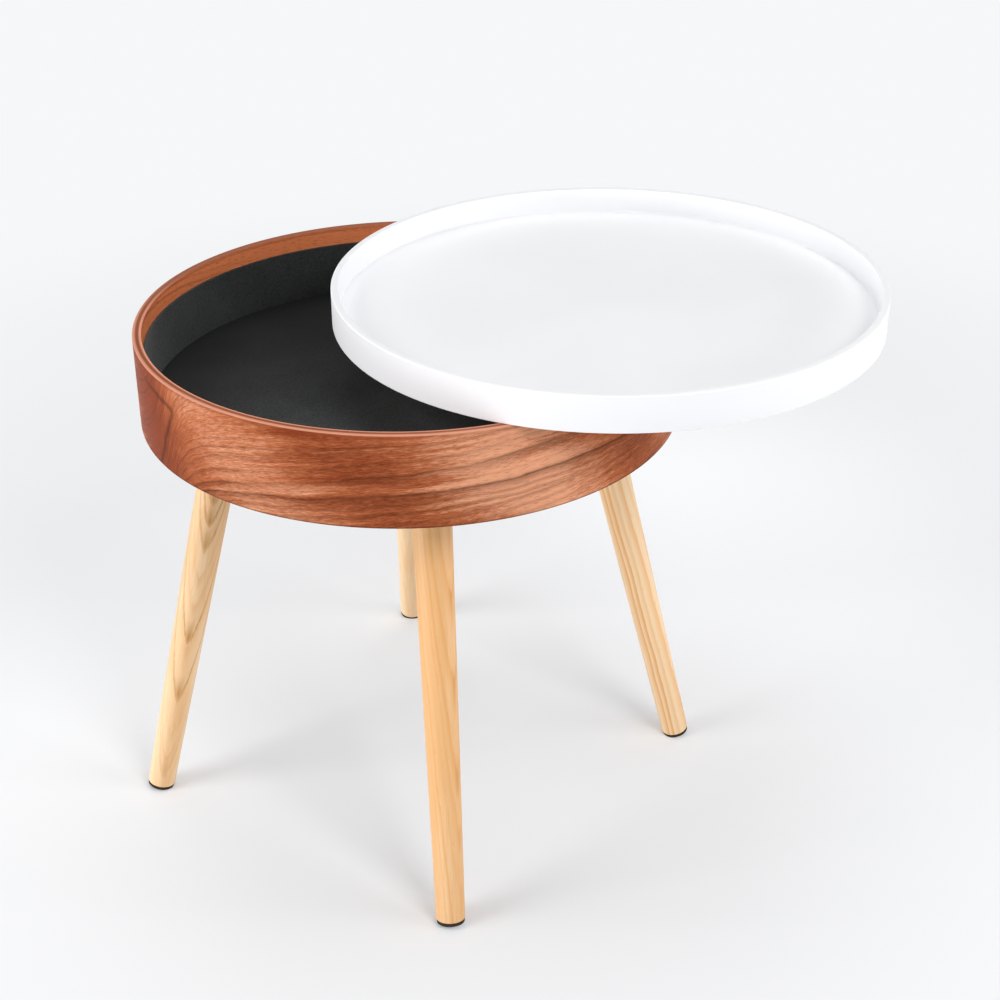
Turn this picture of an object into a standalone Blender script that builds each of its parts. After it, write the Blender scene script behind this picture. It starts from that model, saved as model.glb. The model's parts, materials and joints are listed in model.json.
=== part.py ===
"""Round side table: a walnut storage drum on four splayed ash legs, with a loose white tray slid aside on its rim.

Metres, +Z up. The table stands on Z = 0, and the origin is the middle of its footprint.
"""
import math

import bmesh
import bpy
from mathutils import Matrix, Vector

# Drum
DRUM_DIAMETER = 0.480
DRUM_HEIGHT = 0.082
DRUM_WALL = 0.008
RIM_HEIGHT = 0.470
RIM_ROUND = 0.0012
LOWER_EDGE_ROUND = 0.0012
REBATE_DEPTH = 0.0035
WALNUT_BAND = 0.016
BASE_RECESS = 0.005
LINER_THICKNESS = 0.0025
MAT_THICKNESS = 0.002
BASE_THICKNESS = 0.009

# Tray, and how far it is slid aside from the closed place
TRAY_OVERHANG = 0.002
TRAY_HEIGHT = 0.0315
TRAY_WALL = 0.0065
TRAY_RIM_ROUND = 0.001
TRAY_LOWER_ROUND = 0.0006
TRAY_PANEL_THICKNESS = 0.009
TRAY_REBATE_DEPTH = 0.003
TRAY_TONGUE = 0.005
TRAY_SLIDE = 0.1754
TRAY_SLIDE_AZIMUTH = math.radians(0.85)

# Legs: each stands at its own azimuth, as the four plates are screwed on in the photo
LEG_AZIMUTHS = {
    "front": math.radians(-82.2),
    "right": math.radians(6.3),
    "back": math.radians(94.3),
    "left": math.radians(192.2),
}
LEG_SPLAY = math.radians(13.6)
LEG_INSET = 0.0755
LEG_TOP_DIAMETER = 0.034
LEG_FOOT_DIAMETER = 0.024
LEG_END_CHAMFER = 0.0007
GLIDE_THICKNESS = 0.003
GLIDE_INSET = 0.0004
GLIDE_WORN_FLAT = 0.001

# Leg fittings
PLATE_SIDE = 0.050
PLATE_THICKNESS = 0.0025
PLATE_CORNER = 0.006
SEAT_DIAMETER = 0.030
SEAT_LEAST_DROP = 0.001
BOLT_DIAMETER = 0.008
BOLT_IN_LEG = 0.032
BOLT_IN_SEAT = 0.0045
BOLT_CHAMFER = 0.001
SCREW_DIAMETER = 0.0035
SCREW_HEAD_DIAMETER = 0.007
SCREW_HEAD_HEIGHT = 0.002
SCREW_PITCH = 0.036
SCREW_COVER = 0.0025

# Fits
SEAT_GAP = 0.0003
HOLE_CLEARANCE = 0.0003

# Facets
HOOP_FACETS = 80
LEG_FACETS = 28
FASTENER_FACETS = 12
ROUND_FACETS = 3

# Places that follow from the sizes above
DRUM_RADIUS = DRUM_DIAMETER / 2
DRUM_INSIDE = DRUM_RADIUS - DRUM_WALL
DRUM_BOTTOM = RIM_HEIGHT - DRUM_HEIGHT
REBATE_RADIUS = DRUM_INSIDE + REBATE_DEPTH
LINER_OUTSIDE = DRUM_INSIDE - SEAT_GAP
LINER_INSIDE = LINER_OUTSIDE - LINER_THICKNESS
BASE_BOTTOM = DRUM_BOTTOM + BASE_RECESS
BASE_TOP = BASE_BOTTOM + BASE_THICKNESS
COMPARTMENT_FLOOR = BASE_TOP + SEAT_GAP + MAT_THICKNESS
PLATE_TOP = BASE_BOTTOM - SEAT_GAP
PLATE_BOTTOM = PLATE_TOP - PLATE_THICKNESS
TRAY_RADIUS = DRUM_RADIUS + TRAY_OVERHANG
TRAY_INSIDE = TRAY_RADIUS - TRAY_WALL
TRAY_REBATE_RADIUS = TRAY_INSIDE + TRAY_REBATE_DEPTH
TRAY_BOTTOM = RIM_HEIGHT + SEAT_GAP
LEG_TOP_RADIUS = LEG_TOP_DIAMETER / 2
LEG_FOOT_RADIUS = LEG_FOOT_DIAMETER / 2
GLIDE_RADIUS = LEG_FOOT_RADIUS - GLIDE_INSET
FOOT_CIRCLE = DRUM_RADIUS - LEG_INSET + DRUM_BOTTOM * math.tan(LEG_SPLAY)

# Along a leg's axis, measured upwards from where the axis meets the floor
GLIDE_END = (GLIDE_RADIUS * math.sin(LEG_SPLAY) - GLIDE_WORN_FLAT) / math.cos(LEG_SPLAY)
LEG_END = GLIDE_END + GLIDE_THICKNESS + SEAT_GAP
SEAT_DROP = LEG_TOP_RADIUS * math.sin(LEG_SPLAY) + SEAT_LEAST_DROP
SEAT_END = (PLATE_BOTTOM - SEAT_DROP) / math.cos(LEG_SPLAY)
LEG_TOP = SEAT_END - SEAT_GAP

# Colours: linear red, green and blue, then roughness and metallic
FINISHES = {
    "walnut": ((0.42, 0.14, 0.066), 0.38, 0.0),
    "white_lacquer": ((0.86, 0.86, 0.88), 0.32, 0.0),
    "black_lining": ((0.022, 0.024, 0.023), 0.75, 0.0),
    "base_board": ((0.05, 0.045, 0.042), 0.6, 0.0),
    "ash": ((0.82, 0.52, 0.26), 0.42, 0.0),
    "dark_glide": ((0.025, 0.016, 0.011), 0.7, 0.0),
    "zinc_steel": ((0.56, 0.57, 0.58), 0.34, 1.0),
}


def clear_scene():
    for existing in list(bpy.data.objects):
        bpy.data.objects.remove(existing, do_unlink=True)


def new_collection(name):
    collection = bpy.data.collections.new(name)
    bpy.context.scene.collection.children.link(collection)
    return collection


def finish_material(name):
    colour, roughness, metallic = FINISHES[name]
    material = bpy.data.materials.new(name)
    material.use_nodes = True
    shader = material.node_tree.nodes["Principled BSDF"]
    shader.inputs["Base Color"].default_value = (*colour, 1.0)
    shader.inputs["Roughness"].default_value = roughness
    shader.inputs["Metallic"].default_value = metallic
    return material


def add_empty(name, parent=None, location=(0, 0, 0), rotation=(0, 0, 0)):
    empty = bpy.data.objects.new(name, None)
    empty.parent = parent
    empty.location = location
    empty.rotation_euler = rotation
    parts.objects.link(empty)
    return empty


def add_part(name, mesh, finish, parent, location=(0, 0, 0)):
    """One piece of the table, with its own material."""
    part = bpy.data.objects.new(name, mesh)
    part.parent = parent
    part.location = location
    if not mesh.materials:
        mesh.materials.append(materials[finish])
    parts.objects.link(part)
    return part


def add_cutter(name, mesh, parent=None, location=(0, 0, 0), rotation=(0, 0, 0)):
    """A shape that only cuts or joins others."""
    cutter = bpy.data.objects.new(name, mesh)
    cutter.parent = parent
    cutter.location = location
    cutter.rotation_euler = rotation
    cutter.hide_render = True
    cutter.display_type = "WIRE"
    cutters.objects.link(cutter)
    return cutter


def rounded_corner(centre, radius, start_degrees):
    """Profile points of a quarter round that turns clockwise from the start angle."""
    points = []
    for step in range(ROUND_FACETS + 1):
        angle = math.radians(start_degrees - 90 * step / ROUND_FACETS)
        points.append((centre[0] + radius * math.cos(angle), centre[1] + radius * math.sin(angle)))
    return points


def profile_mesh(name, points, closed):
    mesh = bpy.data.meshes.new(name)
    edges = [(index, index + 1) for index in range(len(points) - 1)]
    if closed:
        edges.append((len(points) - 1, 0))
    mesh.from_pydata([(radius, 0, height) for radius, height in points], edges, [])
    return mesh


def turn(part, facets):
    """Turns a profile about the object's Z axis and shades its round faces smooth."""
    screw = part.modifiers.new("turned", "SCREW")
    screw.axis = "Z"
    screw.steps = facets
    screw.render_steps = facets
    screw.use_merge_vertices = True
    screw.merge_threshold = 0.00001
    screw.use_smooth_shade = True
    return part


def evaluated_mesh(part):
    """The shape that an object's modifiers give, as a new mesh in world space."""
    bpy.context.view_layer.update()
    depsgraph = bpy.context.evaluated_depsgraph_get()
    mesh = bpy.data.meshes.new_from_object(part.evaluated_get(depsgraph))
    mesh.transform(part.matrix_world)
    return mesh


def baked(prototype, finish):
    """A mesh that several pieces share; the prototype that it came from is removed."""
    mesh = evaluated_mesh(prototype)
    mesh.shade_smooth()
    mesh.set_sharp_from_angle(angle=math.radians(35))
    mesh.materials.clear()
    mesh.materials.append(materials[finish])
    bpy.data.objects.remove(prototype, do_unlink=True)
    return mesh


def cut(part, cutter, operation="DIFFERENCE"):
    boolean = part.modifiers.new(operation.lower(), "BOOLEAN")
    boolean.operation = operation
    boolean.solver = "EXACT"
    boolean.object = cutter


def turned_mesh(name, points, facets, finish):
    """A solid of revolution as a mesh that several pieces share."""
    return baked(turn(add_cutter(name, profile_mesh(name, points, False)), facets), finish)


def box_mesh(name, size):
    mesh = bpy.data.meshes.new(name)
    shape = bmesh.new()
    bmesh.ops.create_cube(shape, size=1, matrix=Matrix.Diagonal((*size, 1)))
    shape.to_mesh(mesh)
    shape.free()
    return mesh


def pins_mesh(name, radius, low, high, places):
    """Upright round pins at the given places, to cut a pattern of holes."""
    mesh = bpy.data.meshes.new(name)
    shape = bmesh.new()
    for x, y in places:
        bmesh.ops.create_cone(shape, cap_ends=True, segments=FASTENER_FACETS, radius1=radius, radius2=radius,
                              depth=high - low, matrix=Matrix.Translation((x, y, (low + high) / 2)))
    shape.to_mesh(mesh)
    shape.free()
    return mesh


def disc_profile(radius, low, high):
    return [(0, high), (radius, high), (radius, low), (0, low)]


def hoop_profile(outside, inside, low, high, rim_round, lower_round, rebate_radius, rebate_top):
    """A hoop's section: rounded rim, eased lower edge, and a rebate inside for a panel."""
    rim_round = min(rim_round, 0.45 * (outside - inside))
    lower_round = min(lower_round, 0.45 * (outside - rebate_radius))
    points = rounded_corner((outside - rim_round, high - rim_round), rim_round, 90)
    points += rounded_corner((outside - lower_round, low + lower_round), lower_round, 0)
    points += [(rebate_radius, low), (rebate_radius, rebate_top), (inside, rebate_top)]
    points += rounded_corner((inside + rim_round, high - rim_round), rim_round, 180)
    return points


def build_drum(frame):
    """The walnut hoop, its black lining, and the base panel in the hoop's rebate."""
    hoop = hoop_profile(DRUM_RADIUS, DRUM_INSIDE, DRUM_BOTTOM, RIM_HEIGHT, RIM_ROUND, LOWER_EDGE_ROUND,
                        REBATE_RADIUS, BASE_TOP + SEAT_GAP)
    turn(add_part("drum_hoop", profile_mesh("drum_hoop", hoop, True), "walnut", frame), HOOP_FACETS)

    liner_top = RIM_HEIGHT - WALNUT_BAND
    liner_foot = BASE_TOP + SEAT_GAP
    liner = [(LINER_OUTSIDE, liner_top), (LINER_OUTSIDE, liner_foot),
             (LINER_INSIDE, liner_foot), (LINER_INSIDE, liner_top)]
    turn(add_part("drum_liner", profile_mesh("drum_liner", liner, True), "black_lining", frame), HOOP_FACETS)

    mat = disc_profile(LINER_INSIDE - SEAT_GAP, COMPARTMENT_FLOOR - MAT_THICKNESS, COMPARTMENT_FLOOR)
    turn(add_part("floor_mat", profile_mesh("floor_mat", mat, False), "black_lining", frame), HOOP_FACETS)

    base = disc_profile(REBATE_RADIUS - SEAT_GAP, BASE_BOTTOM, BASE_TOP)
    panel = add_part("base_panel", profile_mesh("base_panel", base, False), "base_board", frame)
    return turn(panel, HOOP_FACETS)


def build_tray(frame):
    """The loose tray: its panel lies flush with the hoop's underside, so that it can rest anywhere on the rim.

    The panel's edge is thinned to a tongue that goes under the shoulder of the hoop's rebate.
    """
    place = (TRAY_SLIDE * math.cos(TRAY_SLIDE_AZIMUTH), TRAY_SLIDE * math.sin(TRAY_SLIDE_AZIMUTH), TRAY_BOTTOM)
    tray = add_empty("tray_slide", frame, place, (0, 0, TRAY_SLIDE_AZIMUTH))
    hoop = hoop_profile(TRAY_RADIUS, TRAY_INSIDE, 0, TRAY_HEIGHT, TRAY_RIM_ROUND, TRAY_LOWER_ROUND,
                        TRAY_REBATE_RADIUS, TRAY_TONGUE + SEAT_GAP)
    turn(add_part("tray_hoop", profile_mesh("tray_hoop", hoop, True), "white_lacquer", tray), HOOP_FACETS)
    face = TRAY_INSIDE - SEAT_GAP
    tongue = TRAY_REBATE_RADIUS - SEAT_GAP
    panel = [(0, TRAY_PANEL_THICKNESS), (face, TRAY_PANEL_THICKNESS), (face, TRAY_TONGUE)]
    panel += [(tongue, TRAY_TONGUE), (tongue, 0), (0, 0)]
    turn(add_part("tray_panel", profile_mesh("tray_panel", panel, False), "white_lacquer", tray), HOOP_FACETS)


def screw_places():
    """Where a plate's four screws stand, in a leg's own frame."""
    middle = FOOT_CIRCLE - PLATE_BOTTOM * math.tan(LEG_SPLAY)
    half = SCREW_PITCH / 2
    return [(middle + side_x * half, side_y * half) for side_x in (-1, 1) for side_y in (-1, 1)]


def leg_mesh():
    """A tapered leg along its own axis, with the bolt's blind hole in its top end."""
    hole = BOLT_DIAMETER / 2 + HOLE_CLEARANCE
    hole_end = LEG_TOP - BOLT_IN_LEG - HOLE_CLEARANCE
    points = [(0, hole_end), (hole, hole_end), (hole, LEG_TOP), (LEG_TOP_RADIUS - LEG_END_CHAMFER, LEG_TOP)]
    points += [(LEG_TOP_RADIUS, LEG_TOP - LEG_END_CHAMFER), (LEG_FOOT_RADIUS, LEG_END + LEG_END_CHAMFER)]
    points += [(LEG_FOOT_RADIUS - LEG_END_CHAMFER, LEG_END), (0, LEG_END)]
    return turned_mesh("leg_profile", points, LEG_FACETS, "ash")


def bolt_mesh():
    """A hanger bolt: one end in the leg, the other in the plate's seat."""
    radius = BOLT_DIAMETER / 2
    high = SEAT_END + BOLT_IN_SEAT
    low = LEG_TOP - BOLT_IN_LEG
    points = [(0, high), (radius - BOLT_CHAMFER, high), (radius, high - BOLT_CHAMFER)]
    points += [(radius, low + BOLT_CHAMFER), (radius - BOLT_CHAMFER, low), (0, low)]
    return turned_mesh("bolt_profile", points, FASTENER_FACETS, "zinc_steel")


def glide_mesh(axis):
    """A pad on the square-cut foot, pressed flat where it stands on the floor."""
    profile = disc_profile(GLIDE_RADIUS, GLIDE_END, GLIDE_END + GLIDE_THICKNESS)
    pad = turn(add_cutter("glide_profile", profile_mesh("glide_profile", profile, False), axis), LEG_FACETS)
    block = 4 * GLIDE_RADIUS
    floor = add_cutter("floor_block", box_mesh("floor_block", (block,) * 3), None, (FOOT_CIRCLE, 0, -block / 2))
    cut(pad, floor)
    mesh = baked(pad, "dark_glide")
    bpy.data.objects.remove(floor, do_unlink=True)
    return mesh


def plate_mesh(axis):
    """A steel plate with a slanted round seat, square to the leg, and holes for the bolt and the screws."""
    middle = FOOT_CIRCLE - PLATE_BOTTOM * math.tan(LEG_SPLAY)
    size = (PLATE_SIDE, PLATE_SIDE, PLATE_THICKNESS)
    plate = add_cutter("plate_blank", box_mesh("plate_blank", size), None,
                       (middle, 0, PLATE_TOP - PLATE_THICKNESS / 2))
    corners = plate.modifiers.new("corners", "BEVEL")
    corners.width = PLATE_CORNER
    corners.segments = ROUND_FACETS
    corners.limit_method = "WEIGHT"
    weights = plate.data.attributes.new("bevel_weight_edge", "FLOAT", "EDGE")
    for edge in plate.data.edges:
        ends = [plate.data.vertices[index].co for index in edge.vertices]
        weights.data[edge.index].value = float(abs(ends[0].z - ends[1].z) > PLATE_THICKNESS / 2)

    seat_top = SEAT_END + 2 * SEAT_DROP + PLATE_THICKNESS
    seat = turn(add_cutter("seat", profile_mesh("seat", disc_profile(SEAT_DIAMETER / 2, SEAT_END, seat_top), False),
                           axis), LEG_FACETS)
    trim_size = 2 * PLATE_SIDE
    trim = add_cutter("trim", box_mesh("trim", (trim_size,) * 3), None, (middle, 0, PLATE_TOP + trim_size / 2))
    bolt_hole = disc_profile(BOLT_DIAMETER / 2 + HOLE_CLEARANCE, SEAT_END - SEAT_DROP, seat_top)
    tapped = turn(add_cutter("tapped", profile_mesh("tapped", bolt_hole, False), axis), FASTENER_FACETS)
    holes = add_cutter("plate_holes", pins_mesh("plate_holes", SCREW_DIAMETER / 2 + HOLE_CLEARANCE,
                                                PLATE_BOTTOM - SEAT_DROP, PLATE_TOP + SEAT_DROP, screw_places()))
    cut(plate, seat, "UNION")
    for cutter in (trim, tapped, holes):
        cut(plate, cutter)
    mesh = baked(plate, "zinc_steel")
    for cutter in (seat, trim, tapped, holes):
        bpy.data.objects.remove(cutter, do_unlink=True)
    return mesh


def screw_mesh():
    """A round-headed wood screw that hangs head down from the plate; its origin is under the plate."""
    head = SCREW_HEAD_DIAMETER / 2
    radius = SCREW_DIAMETER / 2
    tip = PLATE_THICKNESS + 2 * SEAT_GAP + BASE_THICKNESS - SCREW_COVER
    points = [(0, tip), (radius, tip - SCREW_DIAMETER), (radius, 0), (head, 0)]
    points += [(head, -SCREW_HEAD_HEIGHT / 2), (head / 2, -SCREW_HEAD_HEIGHT), (0, -SCREW_HEAD_HEIGHT)]
    return turned_mesh("screw_profile", points, FASTENER_FACETS, "zinc_steel")


def build_legs(frame, base_panel):
    """Four legs, each with its glide, bolt, plate and screws, all alike but for the azimuth."""
    model = add_cutter("model_axis", None, None, (FOOT_CIRCLE, 0, 0), (0, -LEG_SPLAY, 0))
    plate = plate_mesh(model)
    glide = glide_mesh(model)
    bpy.data.objects.remove(model, do_unlink=True)
    leg = leg_mesh()
    bolt = bolt_mesh()
    screw = screw_mesh()
    pilot_radius = SCREW_DIAMETER / 2 + HOLE_CLEARANCE
    pilot_end = BASE_TOP - SCREW_COVER + HOLE_CLEARANCE
    pilots = pins_mesh("pilots", pilot_radius, BASE_BOTTOM - SCREW_COVER, pilot_end, screw_places())

    for side, azimuth in LEG_AZIMUTHS.items():
        stand = add_empty(f"stand_{side}", frame, rotation=(0, 0, azimuth))
        axis = add_empty(f"axis_{side}", stand, (FOOT_CIRCLE, 0, 0), (0, -LEG_SPLAY, 0))
        add_part(f"leg_{side}", leg, "ash", axis)
        add_part(f"bolt_{side}", bolt, "zinc_steel", axis)
        add_part(f"glide_{side}", glide, "dark_glide", stand)
        add_part(f"plate_{side}", plate, "zinc_steel", stand)
        for number, (x, y) in enumerate(screw_places(), start=1):
            place = (x, y, PLATE_BOTTOM - SEAT_GAP)
            add_part(f"screw_{side}_{number}", screw, "zinc_steel", stand, place)
        cut(base_panel, add_cutter(f"pilots_{side}", pilots, stand))


def centre_on_footprint(frame):
    """Moves the whole table so that the origin is the middle of the box round it, on the floor."""
    bpy.context.view_layer.update()
    depsgraph = bpy.context.evaluated_depsgraph_get()
    low = Vector((math.inf, math.inf))
    high = -low
    for part in parts.objects:
        if part.type != "MESH":
            continue
        shape = part.evaluated_get(depsgraph)
        for vertex in shape.data.vertices:
            place = shape.matrix_world @ vertex.co
            for axis in range(2):
                low[axis] = min(low[axis], place[axis])
                high[axis] = max(high[axis], place[axis])
    middle = (low + high) / 2
    frame.location = (-middle.x, -middle.y, 0)
    bpy.context.view_layer.update()


clear_scene()
parts = new_collection("round_side_table")
cutters = new_collection("cutters")
materials = {name: finish_material(name) for name in FINISHES}
table = add_empty("table_frame")
build_legs(table, build_drum(table))
build_tray(table)
centre_on_footprint(table)
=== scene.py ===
"""The looks of a round side table: walnut drum, black lining, white tray, ash legs and zinc fittings."""
import json
import math

import bmesh
import bpy
import numpy as np
from mathutils import Matrix, Vector


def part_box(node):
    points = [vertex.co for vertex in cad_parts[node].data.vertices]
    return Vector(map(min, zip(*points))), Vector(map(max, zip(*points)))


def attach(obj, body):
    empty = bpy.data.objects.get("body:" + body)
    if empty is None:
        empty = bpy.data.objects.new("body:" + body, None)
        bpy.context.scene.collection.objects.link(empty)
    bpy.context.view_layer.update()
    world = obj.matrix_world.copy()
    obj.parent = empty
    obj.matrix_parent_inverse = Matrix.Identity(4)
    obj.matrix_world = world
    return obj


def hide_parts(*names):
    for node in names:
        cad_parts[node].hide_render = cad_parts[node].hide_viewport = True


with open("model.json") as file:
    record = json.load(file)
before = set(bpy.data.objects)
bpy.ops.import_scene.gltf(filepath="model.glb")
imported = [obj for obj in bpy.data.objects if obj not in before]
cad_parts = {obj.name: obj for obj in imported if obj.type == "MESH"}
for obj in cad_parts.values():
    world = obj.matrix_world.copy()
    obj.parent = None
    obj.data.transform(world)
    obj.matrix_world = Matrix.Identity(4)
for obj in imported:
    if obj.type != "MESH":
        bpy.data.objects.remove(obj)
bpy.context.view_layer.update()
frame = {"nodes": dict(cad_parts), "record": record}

# Photograph: a square picture, taken from a place that is measured from the drum's axis at the floor
IMAGE_SIZE = 1000
FOCAL_PIXELS = 1828.4
SENSOR_WIDTH = 36.0
CAMERA_FROM_DRUM = Vector((0.0795, -1.4917, 1.0936))
CAMERA_PITCH = math.radians(28.51)
CAMERA_ROLL = math.radians(-0.32)

# Shapes: edges and other small sizes, in metres, angles, and counts of facets
RIM_ROUND = 0.0012
LOWER_EDGE_ROUND = 0.0012
DRUM_REBATE = 0.0035
TRAY_WALL = 0.0065
TRAY_RIM_ROUND = 0.0010
TRAY_LOWER_ROUND = 0.0006
TRAY_FILLET = 0.0015
LINER_ROUND = 0.0008
LINER_GAP = 0.0003
MAT_ROUND = 0.0010
LEG_END_ROUND = 0.0008
GLIDE_ROUND = 0.0006
SCREW_HEAD_ROUND = 0.0013
CROSS_SPAN = 0.0036
CROSS_WIDTH = 0.0010
CROSS_DEPTH = 0.0011
CUT_TOLERANCE = 0.000002
FITTING_EDGE = 0.0003
FITTING_EDGE_ANGLE = math.radians(50)
FITTING_EDGE_SEGMENTS = 2
SCREW_TURN = math.radians(37)
SHARP_ANGLE = math.radians(40)
HOOP_FACETS = 360
LEG_FACETS = 96
FASTENER_FACETS = 32
ROUND_FACETS = 8
SMALL_ROUND_FACETS = 4

LEG_SIDES = ("front", "right", "back", "left")
# The grain of each leg: the turn about its axis, from outwards, that its widest growth rings face, in
# degrees; how much the rings lean against the axis; their spacing; how strong they show; how soft; and how
# pale the leg is, which is partly the wood's own tone and partly painted light: the right leg is painted
# paler for light that the tray keeps off it, the front leg darker
LEG_GRAINS = {
    "front": (48.0, 0.050, 0.0042, 0.85, 0.6, -0.19),
    "right": (-14.0, 0.018, 0.0060, 1.00, 0.9, 0.28),
    "back": (150.0, 0.050, 0.0040, 0.15, 0.8, 0.18),
    "left": (84.0, 0.098, 0.0046, 0.35, 0.4, 0.05),
}
# The arches that stand out on a leg: the height of each one's point above the foot, and its strength
LEG_ARCHES = {
    "left": ((0.330, 0.9), (0.313, 0.9), (0.291, 1.0), (0.266, 0.8), (0.168, 1.0), (0.104, 0.9),
             (0.014, 0.4)),
}
# How far the middle of the growth rings is from a leg's axis
PITH_DISTANCE = 0.055

# Walnut grain, in metres: the distance along the hoop is 0 at the front and grows to the right
# Along one growth line, height = rise * distance + step * atan((distance - tip) / width)
GRAIN_RISE = 0.060
GRAIN_TIP = -0.228
GRAIN_TIP_WIDTH = 0.024
GRAIN_TIP_STEP = 0.054
GRAIN_SWAY = 0.016
GRAIN_RIPPLE = 0.004
THIN_LINE_SPACING = 0.0062
# The main growth lines: depth under the rim at the front, rise, softness and darkness
MAIN_LINES = (
    (0.0120, 0.100, 0.006, 0.40),
    (0.0240, 0.100, 0.007, 0.45),
    (0.0360, 0.100, 0.010, 0.85),
    (0.0535, 0.048, 0.010, 1.00),
    (0.0625, 0.050, 0.004, 0.50),
    (0.0690, 0.060, 0.004, 0.45),
    (0.0800, 0.120, 0.005, 0.55),
    (0.0890, 0.135, 0.004, 0.50),
    (0.0980, 0.150, 0.005, 0.55),
)
# A hooked line left of the tip: where it meets the lower edge, its lean, its corner under the rim, how it
# falls to the right of that, and where it fades in
HOOK_FOOT = -0.2455
HOOK_LEAN = 0.52
HOOK_TOP = 0.0615
HOOK_CORNER = -0.2136
HOOK_CORNER_ROUND = 0.005
HOOK_FALL = 0.19
HOOK_FADE_FROM = HOOK_FOOT - 0.034
HOOK_FADE_TO = HOOK_FOOT - 0.008
# Painted highlights: pale and deep zones take turns along the hoop, the pale ones standing for the lamps'
# highlights on the satin veneer and the deep ones for the dark between them: their pitch, the middle of a
# pale one, their slant, and the angles in radians between which they fade
ZONE_PITCH = 0.240
PALE_ZONE = 0.100
ZONE_SLANT = 0.6
ZONE_FADE_FROM = 1.3
ZONE_FADE_TO = 2.1

# Colours: linear red, green and blue
WALNUT_LIGHT = (0.74, 0.340, 0.195)
WALNUT_MIDDLE = (0.42, 0.122, 0.048)
WALNUT_DEEP = (0.22, 0.044, 0.015)
WALNUT_LINE = (0.060, 0.015, 0.007)
WALNUT_RIM_HIGHLIGHT = (0.72, 0.33, 0.22)
WALNUT_EDGE = (0.30, 0.105, 0.060)
WALNUT_INSIDE = (0.86, 0.250, 0.095)
ASH_LIGHT = (0.89, 0.650, 0.400)
ASH_MIDDLE = (0.77, 0.440, 0.195)
ASH_WARM = (0.77, 0.365, 0.110)
ASH_LATE = (0.50, 0.230, 0.060)
LACQUER_WHITE = (0.855, 0.858, 0.876)
LACQUER_SHADE = (0.838, 0.842, 0.862)
LINING_BLACK = (0.034, 0.037, 0.036)
LINING_FIBRE = (0.083, 0.090, 0.088)
MAT_BLACK = (0.0160, 0.0177, 0.0172)
MAT_FIBRE = (0.055, 0.060, 0.0585)
BOARD_BLACK = (0.040, 0.036, 0.034)
BOARD_WORN = (0.075, 0.066, 0.060)
GLIDE_DARK = (0.020, 0.013, 0.009)
GLIDE_FIBRE = (0.050, 0.035, 0.026)
ZINC_LIGHT = (0.62, 0.63, 0.64)
ZINC_DARK = (0.44, 0.45, 0.47)
FLOOR_COLOUR = (0.716, 0.724, 0.738)
BACKDROP_COLOUR = (0.925, 0.931, 0.945)

# Painted light on a lining: how much paler it is painted to the right and to the front, where the tray and
# the drum's wall shade it, and darker the other way, as powers of e for each metre from the drum's axis,
# and the palest share that it reaches
LINING_PAINTED_LIGHT = (0.0, 3.2, 1.0)
MAT_PAINTED_LIGHT = (5.0, 5.7, 2.0)

# Lamps: name, azimuth and elevation in degrees, distance, width and height in metres, power in watts
SOFTBOXES = (
    ("key_softbox", -57.0, 42.0, 4.0, 1.4, 1.4, 57.0),
    ("left_softbox", -157.0, 36.0, 4.0, 1.6, 1.6, 40.0),
    ("low_left_card", -160.0, 3.0, 4.0, 2.6, 0.4, 95.0),
    ("right_fill", -18.0, 10.0, 4.0, 2.0, 1.2, 59.0),
    ("top_fill", 90.0, 75.0, 4.0, 2.5, 2.5, 48.0),
)
LAMP_TARGET_HEIGHT = 0.40
AMBIENT_LIGHT = 0.37


# Node trees

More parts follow.
